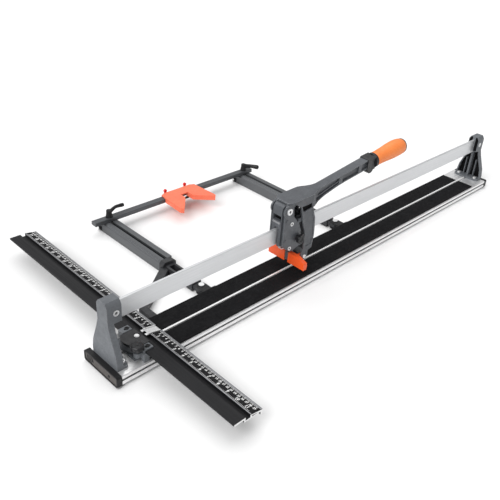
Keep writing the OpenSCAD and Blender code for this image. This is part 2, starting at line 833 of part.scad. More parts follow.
module arm_hinge_pins() {
    color(silver) for (x = [arm_x, arm_x + arm_pitch]) {
        rod_z(x, arm_pin_y, 2.4, 24.6, 5);
        rod_z(x, arm_pin_y, 24.6, 26.6, 7);
    }
}

// Swing bracket: hub, straight beam, end plate, and a stay that rests on the base
module swing_bracket(x) {
    hub_z0 = 8.3;
    hub_z1 = 18.7;
    beam_y = arm_pin_y + 17;
    stay_x = x - 150;
    plate_half = arm_w / 2 + 0.6;
    plate_y = arm_y0 - 16;
    color(dark_casting) difference() {
        union() {
            rod_z(x, arm_pin_y, hub_z0, hub_z1, 11);
            block([x - 11, arm_pin_y, hub_z0], [x + 11, beam_y, hub_z1]);
            block([x - 14, beam_y, 3.3], [x + 14, plate_y, 22]);
            along_y([[x - plate_half, arm_z], [x + plate_half, arm_z],
                [x + plate_half, arm_top - 6], [x + plate_half - 6, arm_top],
                [x - plate_half + 6, arm_top], [x - plate_half, arm_top - 6]], plate_y, arm_y0);
            translate([0, 0, 3.3]) linear_extrude(15) polygon([[x - 10, 190], [x - 10, 208],
                [x - 20, 208], [stay_x - 8, 108], [stay_x - 8, half_w + 0.6],
                [stay_x + 8, half_w + 0.6], [stay_x + 8, 98]]);
        }
        rod_z(x, arm_pin_y, 0, 30, 5 + run);
        block([x - 8, beam_y + 8, 6], [x + 8, plate_y - 8, 30]);
    }
}
module swing_bracket_near() { swing_bracket(arm_x); }
module swing_bracket_far() { swing_bracket(arm_x + arm_pitch); }

// Aluminium profile of an arm: a T-slot on top, a bevelled shoulder, two chambers
module arm_profile(x) {
    h = arm_w / 2;
    slot = 4.5;
    tee = 8;
    top = arm_top;
    color(casting) difference() {
        along_y([[x - h, arm_z], [x + h, arm_z], [x + h, top], [x + slot, top],
            [x + slot, top - 4], [x + tee, top - 4], [x + tee, top - 11], [x - tee, top - 11],
            [x - tee, top - 4], [x - slot, top - 4], [x - slot, top], [x - h + 7, top],
            [x - h, top - 7]], arm_y0, arm_y1);
        for (dx = [-h + 3, 1.5]) block([x + dx, arm_y0 - 1, arm_z + 3],
            [x + dx + h - 4.5, arm_y1 + 1, top - 14]);
    }
}
module arm_near() { arm_profile(arm_x); }
module arm_far() { arm_profile(arm_x + arm_pitch); }

// Tip cap with a boss on its outer side
module arm_cap(x) {
    h = arm_w / 2;
    color(black) {
        along_y([[x - h, arm_z], [x + h, arm_z], [x + h, arm_top], [x - h + 7, arm_top],
            [x - h, arm_top - 7]], arm_y1, arm_y1 + 7);
        rod_x(arm_y1 + 1, arm_z + 9, x - h - 5, x - h, 5);
        block([x - h - 2, arm_y1 - 8, arm_z + 3], [x - h, arm_y1 + 6, arm_z + 15]);
        block([x - h - 2, arm_y1 + 0.1, arm_z + 3], [x - h + 1, arm_y1 + 6, arm_z + 15]);
    }
}
module arm_cap_near() { arm_cap(arm_x); }
module arm_cap_far() { arm_cap(arm_x + arm_pitch); }

// T-bolt in an arm's slot, up through the cross bar
module clamp_bolt(x) {
    nut_top = arm_top - 4 - gap;
    color(silver) {
        block([x - 7, bar_y - 7, nut_top - 5], [x + 7, bar_y + 7, nut_top]);
        rod_z(x, bar_y, nut_top - 1, bar_top + 19, 4);
    }
}
module clamp_bolt_near() { clamp_bolt(arm_x); }
module clamp_bolt_far() { clamp_bolt(arm_x + arm_pitch); }

// Clamping lever: a hub with a cranked handle
module clamp_lever(x, turn, rise) {
    z0 = bar_top + gap;
    bend = [24, 2, 14 + rise];
    color(black) translate([x, bar_y, z0]) difference() {
        union() {
            cylinder(h = 12, r1 = 9.5, r2 = 7.5);
            translate([0, 0, 12]) cylinder(h = 8, r = 7.5);
            rotate([0, 0, turn]) {
                hull() {
                    translate([3, 0, 14]) sphere(r = 4.6, $fn = 24);
                    translate(bend) sphere(r = 4, $fn = 24);
                }
                hull() {
                    translate(bend) sphere(r = 4, $fn = 24);
                    translate([43, -2, 14.5 + rise]) sphere(r = 4.8, $fn = 24);
                }
            }
        }
        translate([0, 0, -1]) cylinder(h = 30, r = 4 + run);
    }
}
module clamp_lever_near() { clamp_lever(arm_x, 4, 7); }
module clamp_lever_far() { clamp_lever(arm_x + arm_pitch, -48, 0); }

// Cross bar that lies over both arms; the far hole is wide, to let the arms fold
module cross_bar() {
    color(casting) difference() {
        along_x([[bar_y - bar_w / 2, bar_z], [bar_y + bar_w / 2, bar_z],
            [bar_y + bar_w / 2, bar_top - 1], [bar_y + bar_w / 2 - 1, bar_top],
            [bar_y - bar_w / 2 + 1, bar_top], [bar_y - bar_w / 2, bar_top - 1]],
            bar_x0, bar_x1);
        rod_z(arm_x, bar_y, 0, 60, 4 + run);
        rod_z(arm_x + arm_pitch, bar_y, 0, 60, 4.7);
    }
}

// V stop: a plate that straddles the cross bar and takes a corner of the tile
module v_stop() {
    clear = 0.4;
    y0 = bar_y - bar_w / 2 - clear;
    y1 = bar_y + bar_w / 2 + clear;
    rear = bar_y + 16;
    color(light_orange) difference() {
        translate([stop_x, 0, stop_z0]) linear_extrude(stop_z1 - stop_z0) polygon([
            [-12, 435], [-12, 416], [-18, 407], [-58, 363], [-65, 369], [-61, 438], [-57, 465],
            [-42, rear], [48, rear], [62, 464], [66, 374], [61, 369], [14, 411], [14, 435]]);
        block([stop_x - 80, y0, 0], [stop_x + 80, y1, bar_top + clear]);
        // opening under the plate, from the notch to the bar
        block([stop_x - 12, 430, 0], [stop_x + 14, y0 + 1, bar_top + clear]);
        for (dx = screw_dx) rod_y(stop_x + dx, bar_z + 5.3, bar_y, rear + 1, 3 + run);
    }
}

// Wing screw at the back of the V stop
module thumb_screw(dx) {
    rear = bar_y + 16;
    wing = 17;
    tip_r = 5;
    color(orange) translate([stop_x + dx, rear + gap, bar_z + 5.3]) rotate([-90, 0, 0]) {
        cylinder(h = 9, r = 5.3);
        translate([0, 0, -5]) cylinder(h = 6, r = 3);
        block([-3, tip_r - wing, 2.5], [3, wing - tip_r, 7.5]);
        for (y = [tip_r - wing, wing - tip_r]) translate([0, y, 2.5]) cylinder(h = 5, r = tip_r);
    }
}
module thumb_screw_left() { thumb_screw(screw_dx[0]); }
module thumb_screw_right() { thumb_screw(screw_dx[1]); }

base_extrusion();
breaking_rib();
pad_front();
pad_rear();
end_cap_near();
end_cap_far();
base_feet();
support_near();
support_far();
rail();
rail_bolts();
support_bolts();
fence_pivot_plate();
fence_pin();
arm_hinge_blocks();
arm_hinge_pins();
fence_profile();
fence_scales();
fence_zero_bracket();
fence_saddle();
fence_sector();
fence_screws();
fence_knob();
carriage_column();
column_bar();
cheek_front();
cheek_rear();
hinge_bolt();
roller_axles();
cheek_screws();
roller_upper_front();
roller_upper_rear();
roller_lower_front();
roller_lower_rear();
lock_knob();
lever_casting();
lever_collar();
lever_grip();
grip_cap();
wheel_holder();
foot_bolt();
wheel_axle();
scoring_wheel();
breaker_foot();
arm_near();
arm_far();
swing_bracket_near();
swing_bracket_far();
arm_cap_near();
arm_cap_far();
clamp_bolt_near();
clamp_bolt_far();
clamp_lever_near();
clamp_lever_far();
cross_bar();
v_stop();
thumb_screw_left();
thumb_screw_right();
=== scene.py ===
"""Look of a manual tile cutter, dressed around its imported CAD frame."""

import json
import math

import bmesh
import bpy
from mathutils import Matrix, Vector


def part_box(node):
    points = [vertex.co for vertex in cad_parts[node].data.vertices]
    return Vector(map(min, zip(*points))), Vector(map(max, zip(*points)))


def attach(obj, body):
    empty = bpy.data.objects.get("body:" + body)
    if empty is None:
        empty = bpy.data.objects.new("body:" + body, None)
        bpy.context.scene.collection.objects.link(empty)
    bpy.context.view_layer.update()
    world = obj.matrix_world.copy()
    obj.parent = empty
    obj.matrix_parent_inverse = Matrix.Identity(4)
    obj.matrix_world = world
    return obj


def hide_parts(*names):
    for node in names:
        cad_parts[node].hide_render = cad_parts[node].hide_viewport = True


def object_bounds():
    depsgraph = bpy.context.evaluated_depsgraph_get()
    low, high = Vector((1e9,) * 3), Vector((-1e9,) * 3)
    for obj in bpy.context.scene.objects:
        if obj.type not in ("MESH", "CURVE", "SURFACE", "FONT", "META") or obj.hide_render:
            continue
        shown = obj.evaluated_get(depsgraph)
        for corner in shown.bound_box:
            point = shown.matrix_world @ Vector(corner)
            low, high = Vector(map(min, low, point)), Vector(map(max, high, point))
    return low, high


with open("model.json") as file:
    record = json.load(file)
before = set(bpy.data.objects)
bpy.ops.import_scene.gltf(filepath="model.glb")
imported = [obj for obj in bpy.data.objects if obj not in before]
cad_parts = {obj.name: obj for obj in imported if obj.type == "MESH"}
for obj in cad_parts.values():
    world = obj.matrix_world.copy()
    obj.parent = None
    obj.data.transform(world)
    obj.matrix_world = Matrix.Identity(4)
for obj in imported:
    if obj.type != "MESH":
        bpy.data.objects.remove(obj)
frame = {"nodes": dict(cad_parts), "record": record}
cad_lo, cad_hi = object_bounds()

MM = 0.001
X = Vector((1, 0, 0))
Y = Vector((0, 1, 0))
Z = Vector((0, 0, 1))


# ---- Materials ----


class Look:
    """A principled material, built up from procedural layers in the piece's own coordinates."""

    def __init__(self, name, color, rough, metallic=0.0, **constants):
        self.material = bpy.data.materials.new(name)
        self.material.use_nodes = True
        self.tree = self.material.node_tree
        self.shader = self.tree.nodes["Principled BSDF"]
        self.color = None
        self.normal = None
        self.coords = self.tree.nodes.new("ShaderNodeTexCoord").outputs["Object"]
        self.shader.inputs["Base Color"].default_value = (*color, 1)
        self.shader.inputs["Roughness"].default_value = rough
        self.shader.inputs["Metallic"].default_value = metallic
        for socket, value in constants.items():
            self.shader.inputs[socket.replace("_", " ")].default_value = value

    def noise(self, grain, stretch=(1, 1, 1), detail=3.0):
        """Noise with features about grain metres across, drawn out along the axes by stretch."""
        mapping = self.tree.nodes.new("ShaderNodeMapping")
        mapping.inputs["Scale"].default_value = [1 / (grain * s) for s in stretch]
        self.tree.links.new(self.coords, mapping.inputs["Vector"])
        texture = self.tree.nodes.new("ShaderNodeTexNoise")
        texture.inputs["Scale"].default_value = 1.0
        texture.inputs["Detail"].default_value = detail
        self.tree.links.new(mapping.outputs["Vector"], texture.inputs["Vector"])
        return texture.outputs[0]

    def spread(self, fac, low, high, start=0.35, end=0.65):
        """The middle of a noise, spread over a range of values."""
        node = self.tree.nodes.new("ShaderNodeMapRange")
        node.inputs["From Min"].default_value = start
        node.inputs["From Max"].default_value = end
        node.inputs["To Min"].default_value = low
        node.inputs["To Max"].default_value = high
        self.tree.links.new(fac, node.inputs["Value"])
        return node.outputs["Result"]

    def tint(self, fac, color, amount=1.0, start=0.35, end=0.65):
        """Lays a second colour over the base colour where the noise is high."""
        mix = self.tree.nodes.new("ShaderNodeMix")
        mix.data_type = "RGBA"
        base = self.shader.inputs["Base Color"]
        if self.color is None:
            mix.inputs["A"].default_value = base.default_value
            mix.inputs[6].default_value = base.default_value
        else:
            self.tree.links.new(self.color, mix.inputs[6])
        mix.inputs[7].default_value = (*color, 1)
        self.tree.links.new(self.spread(fac, 0.0, amount, start, end), mix.inputs[0])
        self.color = mix.outputs[2]
        self.tree.links.new(self.color, base)
        return self

    def gloss(self, fac, low, high):
        """Varies the roughness."""
        self.tree.links.new(self.spread(fac, low, high), self.shader.inputs["Roughness"])
        return self

    def relief(self, fac, depth, strength=1.0):
        """Bump, in metres."""
        bump = self.tree.nodes.new("ShaderNodeBump")
        bump.inputs["Strength"].default_value = strength
        bump.inputs["Distance"].default_value = depth
        self.tree.links.new(fac, bump.inputs["Height"])
        if self.normal is not None:
            self.tree.links.new(self.normal, bump.inputs["Normal"])
        self.normal = bump.outputs["Normal"]
        self.tree.links.new(self.normal, self.shader.inputs["Normal"])
        return self


def casting(name, color, rough=0.5):
    """Painted die casting: fine orange peel, mottling and a little rubbed-off sheen."""
    look = Look(name, color, rough, Specular_IOR_Level=0.45)
    light = [c * 1.35 for c in color]
    dark = [c * 0.78 for c in color]
    look.tint(look.noise(0.045), light, 0.7)
    look.tint(look.noise(0.004, detail=5), dark, 0.5)
    look.gloss(look.noise(0.012), rough - 0.1, rough + 0.1)
    look.relief(look.noise(0.0012, detail=4), 0.00012, 0.6)
    look.relief(look.noise(0.02), 0.0004, 0.25)
    return look


def rubbed_edge(name, color):
    """Bevelled edge of a casting: a painted highlight, lighter and glossier than the casting, with
    random darker mottling.
    """
    look = Look(name, color, 0.32, Specular_IOR_Level=0.7)
    look.tint(look.noise(0.006, detail=5), [c * 0.5 for c in color], 0.9)
    look.relief(look.noise(0.0015), 0.0001, 0.4)
    return look


def moulded(name, color, rough=0.5, grain=0.0008, depth=0.00008, shade=0.6, sheen=0.4):
    """Moulded plastic or rubber with a fine spark-eroded grain."""
    look = Look(name, color, rough, Specular_IOR_Level=sheen)
    look.tint(look.noise(0.03), [min(1, c * 1.15 + 0.004) for c in color], 0.8)
    look.tint(look.noise(0.0035, detail=5), [c * shade for c in color], 0.35)
    look.gloss(look.noise(0.008), rough - 0.08, rough + 0.1)
    look.relief(look.noise(grain, detail=4), depth, 0.7)
    return look


def drawn_metal(name, color, rough, along, metallic=1.0, depth=0.00003, sheen=0.5):
    """Extruded or drawn metal: fine lines along one axis, and faint stains."""
    stretch = tuple(120 if axis == along else 1 for axis in "xyz")
    look = Look(name, color, rough, metallic, Specular_IOR_Level=sheen)
    look.tint(look.noise(0.0011, stretch, 4), [c * 0.84 for c in color], 0.6)
    look.tint(look.noise(0.05), [c * 0.93 for c in color], 0.7)
    look.gloss(look.noise(0.0016, stretch, 4), rough - 0.07, rough + 0.1)
    look.relief(look.noise(0.0006, stretch, 3), depth, 0.5)
    return look


GREY = casting("grey casting", (0.125, 0.134, 0.146), 0.55)
# Lighter edge materials: painted highlights for the bevel faces of the castings
GREY_EDGE_HIGHLIGHT = rubbed_edge("grey casting painted edge highlight", (0.34, 0.35, 0.37))
DARK = casting("dark casting", (0.083, 0.089, 0.099), 0.46)
DARK_EDGE_HIGHLIGHT = rubbed_edge("dark casting painted edge highlight", (0.54, 0.55, 0.57))
DIM = casting("dark bracket", (0.024, 0.025, 0.028), 0.5)
ARM = drawn_metal("arm profile", (0.115, 0.12, 0.127), 0.45, "y", 0.35)
BAR = drawn_metal("cross bar", (0.09, 0.095, 0.102), 0.42, "x", 0.35)
RAIL = drawn_metal("rail aluminium", (0.73, 0.74, 0.755), 0.4, "x", 0.75, 0.00006)
DECK = drawn_metal("base aluminium", (0.93, 0.93, 0.935), 0.36, "x", 0.75)
BRIGHT = drawn_metal("bright rib", (0.95, 0.95, 0.95), 0.4, "x", 0.3)
FENCE = drawn_metal("black anodised fence", (0.009, 0.009, 0.0105), 0.55, "y", 0.05,
                    sheen=0.3)
STRIP = moulded("black scale strip", (0.006, 0.006, 0.007), 0.6, sheen=0.2)
RIB = drawn_metal("bright fence rib", (0.36, 0.365, 0.38), 0.35, "y", 0.8)
STEEL = drawn_metal("zinc plated steel", (0.85, 0.855, 0.86), 0.34, "z", 0.55)
BLACK = moulded("black plastic", (0.010, 0.010, 0.011), 0.5, sheen=0.3)
SATIN = moulded("satin black knob", (0.014, 0.014, 0.016), 0.38, 0.0012, 0.00005)
RUBBER = moulded("black rubber", (0.007, 0.007, 0.008), 0.75, 0.0007, 0.00015, sheen=0.14)
# Near-black for painted shade: sheets set into hollows, grooves, slots and sockets that are in
# shade
SHADE_BLACK = moulded("black painted shade", (0.003, 0.003, 0.0035), 0.8, sheen=0.1)
PANEL = moulded("end cap panel", (0.085, 0.077, 0.072), 0.6)
GRIP = moulded("orange grip", (0.95, 0.25, 0.06), 0.45, 0.0009, 0.0001, 0.8)
FOOT = moulded("orange foot", (0.92, 0.105, 0.018), 0.36, 0.0007, 0.00005, 0.8)
STOP = moulded("orange stop", (0.98, 0.19, 0.10), 0.5, 0.0008, 0.00008, 0.85)
WING = moulded("red wing screw", (0.72, 0.03, 0.03), 0.45, 0.0008, 0.00006, 0.8)
PRINT = Look("white print", (0.95, 0.95, 0.95), 0.55)
PRINT.tint(PRINT.noise(0.003, detail=5), (0.7, 0.7, 0.7), 0.6)
PRINT.relief(PRINT.noise(0.0008), 0.00005, 0.5)
TICK = moulded("etched tick", (0.2, 0.2, 0.21), 0.5)
SEAL = moulded("bearing seal", (0.03, 0.03, 0.032), 0.45)

BY_SLOT = {
    "grey_casting": GREY,
    "dark_casting": DARK,
    "bare_aluminium": DECK,
    "steel": STEEL,
    "black_plastic": BLACK,
    "black_rubber": RUBBER,
    "black_profile": FENCE,
    "grip_orange": GRIP,
    "foot_orange": FOOT,
    "stop_orange": STOP,
}
BY_NODE = {
    "rail": RAIL,
    "arm_near": ARM,
    "arm_far": ARM,
    "cross_bar": BAR,
    "lever_collar": SATIN,
    "fence_sector": SATIN,
    "fence_scales": STRIP,
    "fence_screws": BLACK,
    "cheek_screws": DARK,
    "column_bar": RIB,
    "breaking_rib": BRIGHT,
    "arm_cap_near": BLACK,
    "arm_cap_far": BLACK,
    "swing_bracket_near": DIM,
    "swing_bracket_far": DIM,
}


# ---- Rounded edges ----


def smooth_by_angle(limit):
    """Geometry nodes that shade a mesh smooth, except across edges sharper than the limit."""
    group = bpy.data.node_groups.new("smooth by angle", "GeometryNodeTree")
    group.interface.new_socket("Geometry", in_out="INPUT", socket_type="NodeSocketGeometry")
    group.interface.new_socket("Geometry", in_out="OUTPUT", socket_type="NodeSocketGeometry")
    start = group.nodes.new("NodeGroupInput")
    faces = group.nodes.new("GeometryNodeSetShadeSmooth")
    faces.domain = "FACE"
    angle = group.nodes.new("GeometryNodeInputMeshEdgeAngle")
    over = group.nodes.new("FunctionNodeCompare")
    over.operation = "GREATER_THAN"
    over.inputs[1].default_value = limit
    edges = group.nodes.new("GeometryNodeSetShadeSmooth")
    edges.domain = "EDGE"
    edges.inputs["Shade Smooth"].default_value = False
    end = group.nodes.new("NodeGroupOutput")
    group.links.new(start.outputs[0], faces.inputs["Geometry"])
    group.links.new(angle.outputs["Unsigned Angle"], over.inputs[0])
    group.links.new(faces.outputs["Geometry"], edges.inputs["Geometry"])
    group.links.new(over.outputs[0], edges.inputs["Selection"])
    group.links.new(edges.outputs["Geometry"], end.inputs[0])
    return group


SMOOTH = smooth_by_angle(math.radians(36))


def soften(obj, width, highlight_look=None, segments=2):
    """Rounds the sharp edges of a piece by width in mm, with a painted highlight on the bevel faces
    where one is given, and shades the rest smooth.
    """
    obj.modifiers.new("weld", "WELD").merge_threshold = 0.002 * MM
    flat = obj.modifiers.new("join flat facets", "DECIMATE")
    flat.decimate_type = "DISSOLVE"
    flat.angle_limit = math.radians(0.4)
    if width:
        bevel = obj.modifiers.new("round", "BEVEL")
        bevel.width = width * MM
        bevel.segments = segments
        bevel.limit_method = "ANGLE"
        bevel.angle_limit = math.radians(32)
        # The bevel faces take the painted edge highlight material
        if highlight_look:
            obj.data.materials.append(highlight_look.material)
            bevel.material = 1
    smooth = obj.modifiers.new("smooth", "NODES")
    smooth.node_group = SMOOTH
    normals = obj.modifiers.new("weighted normals", "WEIGHTED_NORMAL")
    normals.keep_sharp = True


# Radius of the rounded edges in mm, and the painted edge highlight for their bevel faces, if any
EDGES = {
    "support_near": (1.2, GREY_EDGE_HIGHLIGHT),
    "support_far": (1.2, GREY_EDGE_HIGHLIGHT),
    "lever_casting": (1.5, DARK_EDGE_HIGHLIGHT),
    "cheek_front": (0.6, DARK_EDGE_HIGHLIGHT),
    "cheek_rear": (0.6, DARK_EDGE_HIGHLIGHT),
    "carriage_column": (0.7, DARK_EDGE_HIGHLIGHT),
    "lever_collar": (0.9, None),
    "end_cap_near": (1.0, None),
    "end_cap_far": (1.0, None),
    "base_extrusion": (0.4, None),
    "rail": (0.25, None),
    "fence_profile": (0.3, None),
    "fence_saddle": (0.7, GREY_EDGE_HIGHLIGHT),
    "fence_pivot_plate": (0.6, None),
    "breaker_foot": (0.8, None),
    "v_stop": (1.1, None),
    "arm_near": (0.5, None),
    "arm_far": (0.5, None),
    "arm_cap_near": (0.8, None),
    "arm_cap_far": (0.8, None),
    "swing_bracket_near": (0.8, None),
    "swing_bracket_far": (0.8, None),
    "cross_bar": (0.4, None),
    "grip_cap": (0.7, None),
    "scoring_wheel": (0.0, None),
    "fence_scales": (0.0, None),
}
DEFAULT_EDGE = (0.35, None)

for part in frame["record"]["subparts"]:
    node = frame["nodes"][part["node"]]
    look = BY_NODE.get(part["node"], BY_SLOT[part["material_slot"]])
    node.data.materials.clear()
    node.data.materials.append(look.material)
    soften(node, *EDGES.get(part["node"], DEFAULT_EDGE))


# ---- Building pieces ----


def place(origin, z_axis=Z, x_axis=X):
    """Matrix that puts local X and Z along two directions of the frame."""
    z_axis = z_axis.normalized()
    y_axis = z_axis.cross(x_axis).normalized()
    turned_x = y_axis.cross(z_axis)
    axes = Matrix((turned_x, y_axis, z_axis)).transposed().to_4x4()
    return Matrix.Translation(origin) @ axes


def loft(mesh, rings, at=Matrix()):
    """Adds a closed solid through rings of points in mm, capped at both ends."""
    loops = [[mesh.verts.new(at @ (Vector(p) * MM)) for p in ring] for ring in rings]
    for low, high in zip(loops, loops[1:]):
        for i, corner in enumerate(low):
            j = (i + 1) % len(low)
            mesh.faces.new((corner, low[j], high[j], high[i]))
    mesh.faces.new(loops[0][::-1])
    mesh.faces.new(loops[-1])


def turned(mesh, profile, at=Matrix(), steps=48, lobes=None):
    """Adds a turned solid; profile holds (radius, height) in mm, lobes scales the radius."""
    rings = []
    for radius, height in profile:
        ring = []
        for i in range(steps):
            a = 2 * math.pi * i / steps
            r = radius * (lobes(a, height) if lobes else 1)
            ring.append((r * math.cos(a), r * math.sin(a), height))
        rings.append(ring)
    loft(mesh, rings, at)


def plate(mesh, outline, low, high, at=Matrix()):
    """Adds a plate: an outline in local X and Y, between two local heights, in mm."""
    loft(mesh, [[(x, y, z) for x, y in outline] for z in (low, high)], at)


def bar(mesh, lo, hi, at=Matrix()):
    """Adds a block between two corners in mm."""
    plate(mesh, [(lo[0], lo[1]), (hi[0], lo[1]), (hi[0], hi[1]), (lo[0], hi[1])], lo[2], hi[2], at)


def tube(mesh, path, steps=20):
    """Adds a round rod through (point, radius) stations given in metres."""
    rings = []
    for i, (point, radius) in enumerate(path):
        ahead = path[min(i + 1, len(path) - 1)][0] - path[max(i - 1, 0)][0]
        axes = place(point, ahead, Z.cross(ahead))
        ring = [axes @ Vector((radius * math.cos(2 * math.pi * k / steps),
                               radius * math.sin(2 * math.pi * k / steps), 0))
                for k in range(steps)]
        rings.append([p / MM for p in ring])
    loft(mesh, rings)


def piece(name, mesh, body, look, replaces=(), edge=0.0, highlight_look=None):
    """Makes an object from a bmesh, rides it on a body and gives it its finish."""
    bmesh.ops.recalc_face_normals(mesh, faces=mesh.faces)
    data = bpy.data.meshes.new(name)
    mesh.to_mesh(data)
    mesh.free()
    obj = bpy.data.objects.new(name, data)
    bpy.context.scene.collection.objects.link(obj)
    obj.data.materials.append(look.material)
    soften(obj, edge, highlight_look)
    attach(obj, body)
    if replaces:
        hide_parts(*replaces)
    return obj


def middle(node):
    """Centre of a CAD node's box."""
    lo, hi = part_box(node)
    return (lo + hi) / 2


def arc(radius, start, end, steps, center=(0, 0)):
    """Points on an arc, angles in degrees."""
    points = []
    for i in range(steps + 1):
        a = math.radians(start + (end - start) * i / steps)
        points.append((center[0] + radius * math.cos(a), center[1] + radius * math.sin(a)))
    return points


# ---- Base: ribbed pads and end caps ----


def ribbed_pad(name):
    """Pad with fine ribs along its length and a flat border."""
    lo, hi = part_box(name)
    border, pitch, depth, side = 3.0, 2.1, 0.4, 1.0
    width = (hi.y - lo.y) / MM
    top = (hi.z - lo.z) / MM
    section = [(0, 0), (0, top - side), (side, top), (border, top)]
    count = int((width - 2 * border) / pitch)
    for i in range(count):
        y = border + (width - 2 * border) * i / count
        section += [(y + 0.3 * pitch, top - depth), (y + 0.7 * pitch, top - depth),
                    (y + pitch, top)]
    section += [(width - side, top), (width, top - side), (width, 0)]
    mesh = bmesh.new()
    length = (hi.x - lo.x) / MM
    loft(mesh, [[(x, y, z) for y, z in section] for x in (0, length)], Matrix.Translation(lo))
    piece("ribbed_" + name, mesh, "root", RUBBER, (name,), 0.0)


ribbed_pad("pad_front")
ribbed_pad("pad_rear")


def end_cap_inset(name, outward):
    """Inset panel of an end cap, with slanted ribs at one end and its screws."""
    lo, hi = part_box("end_cap_" + name)
    rim, recess, panel_t = 3.0, 2.0, 1.1
    half = (hi.y - lo.y) / 2 / MM - rim - 0.5
    height = (hi.z - lo.z) / MM - 2 * rim - 1
    face = hi.x if outward > 0 else lo.x
    at = place(Vector((face - outward * recess * MM, 0, lo.z + (rim + 0.5) * MM)),
               X * outward, Y)
    up = at.to_3x3() @ Y
    flip = 1 if up.z > 0 else -1
    mesh = bmesh.new()
    outline = arc(2.5, 180, 270, 4, (-half + 2.5, 2.5)) + arc(2.5, 270, 360, 4, (half - 2.5, 2.5))
    outline += arc(2.5, 0, 90, 4, (half - 2.5, height - 2.5))
    outline += arc(2.5, 90, 180, 4, (-half + 2.5, height - 2.5))
    plate(mesh, [(x, flip * y) for x, y in outline], 0, panel_t, at)
    piece(f"end_cap_panel_{name}", mesh, "root", PANEL, edge=0.3)
    ribs = bmesh.new()
    lean = 7.0
    for i in range(5):
        x = half - 4 - 4.2 * i
        outline = [(x, flip * 1.5), (x + 1.6, flip * 1.5), (x + 1.6 - lean, flip * (height - 1.5)),
                   (x - lean, flip * (height - 1.5))]
        plate(ribs, outline, panel_t - 0.2, recess + 0.1, at)
    piece(f"end_cap_ribs_{name}", ribs, "root", BLACK, edge=0.2)
    screws = bmesh.new()
    for y in (-28, 28):
        center = at @ (Vector((y, flip * (height / 2 - 0.5), 0)) * MM)
        spot = Matrix.Translation(center) @ at.to_3x3().to_4x4()
        turned(screws, [(3.4, panel_t - 0.2), (3.4, panel_t + 0.5), (2.6, panel_t + 1.1),
                        (1.7, panel_t + 1.2), (1.5, panel_t + 0.5), (0.1, panel_t + 0.4)], spot, 24)
    piece(f"end_cap_screws_{name}", screws, "root", SATIN)


end_cap_inset("near", -1)
end_cap_inset("far", 1)


def groove_strips():
    """Painted shade: black strips in the side grooves of the base, where the grooves fall in shade,
    with a lip along each edge.
    """
    lo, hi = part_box("base_extrusion")
    depth, low, high, wall = 5.0, 12.2, 16.8, 0.6
    section = [(0, low), (2 * wall, low), (2 * wall, low + wall), (wall, low + 2 * wall),
               (wall, high - 2 * wall), (2 * wall, high - wall), (2 * wall, high), (0, high)]
    mesh = bmesh.new()
    for side in (-1, 1):
        y = side * ((hi.y - lo.y) / 2 / MM - depth)
        loft(mesh, [[(x / MM, y + side * t, z) for t, z in section] for x in (lo.x, hi.x)],
             Matrix.Translation((0, 0, lo.z)))
    piece("base_groove_shade_strips", mesh, "root", SHADE_BLACK)


groove_strips()


def support_liner():
    """Painted shade: black sheets in the far support's hollow side and in its neck, where they are
    in shade.
    """
    lo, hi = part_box("support_far")
    inner = (hi.x - lo.x) / MM - 4.9
    foot = (hi.z - lo.z) / MM
    mesh = bmesh.new()
    at = Matrix.Translation((lo.x, 0, lo.z))
    half = [(36.3, 7), (36.8, 13), (33.4, 35), (26.6, 54), (18.2, 76), (13, 93)]
    for side in (-1, 1):
        outline = [(3.4, 7)] + half + [(3.4, 93)]
        loft(mesh, [[(x, side * y, z) for y, z in outline] for x in (inner, inner + 0.6)], at)
        neck = [(5.2, 97), (14.6, 97), (14.6, 131), (12, 137), (9, 140.5), (5.2, 140.5)]
        loft(mesh, [[(x, side * y, min(z, foot - 2)) for y, z in neck] for x in (-0.35, 0.3)], at)
    piece("support_far_hollow_shade", mesh, "root", SHADE_BLACK)


support_liner()


# ---- Fence: scale print, bright ribs, the channel's teeth and the knob ----

strip_lo, strip_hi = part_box("fence_scales")
strip_t = 1.6
strip_w = (strip_hi.x - strip_lo.x) / MM
strip_drop = (strip_hi.z - strip_lo.z) / MM - strip_t
slope_w = math.hypot(strip_w, strip_drop)
down_slope = Vector((strip_w, 0, -strip_drop)).normalized()
strip_normal = down_slope.cross(Y)
zero_half = 11.0
wide_rib = 4.6


def on_strip(y):
    """Matrix on the strip: local X runs along -Y, local Y down the slope, Z out of the face."""
    return place(Vector((strip_lo.x, y, strip_hi.z)), strip_normal, -Y)


def numeral(text, size):
    """Flat numeral as triangles in local coordinates, in mm, centred on its width."""
    curve = bpy.data.curves.new("numeral", "FONT")
    curve.body = text
    curve.size = size
    curve.align_x = "CENTER"
    curve.offset = 0.035 * size
    curve.resolution_u = 2
    obj = bpy.data.objects.new("numeral", curve)
    bpy.context.scene.collection.objects.link(obj)
    data = bpy.data.meshes.new_from_object(obj)
    bpy.data.objects.remove(obj)
    return data


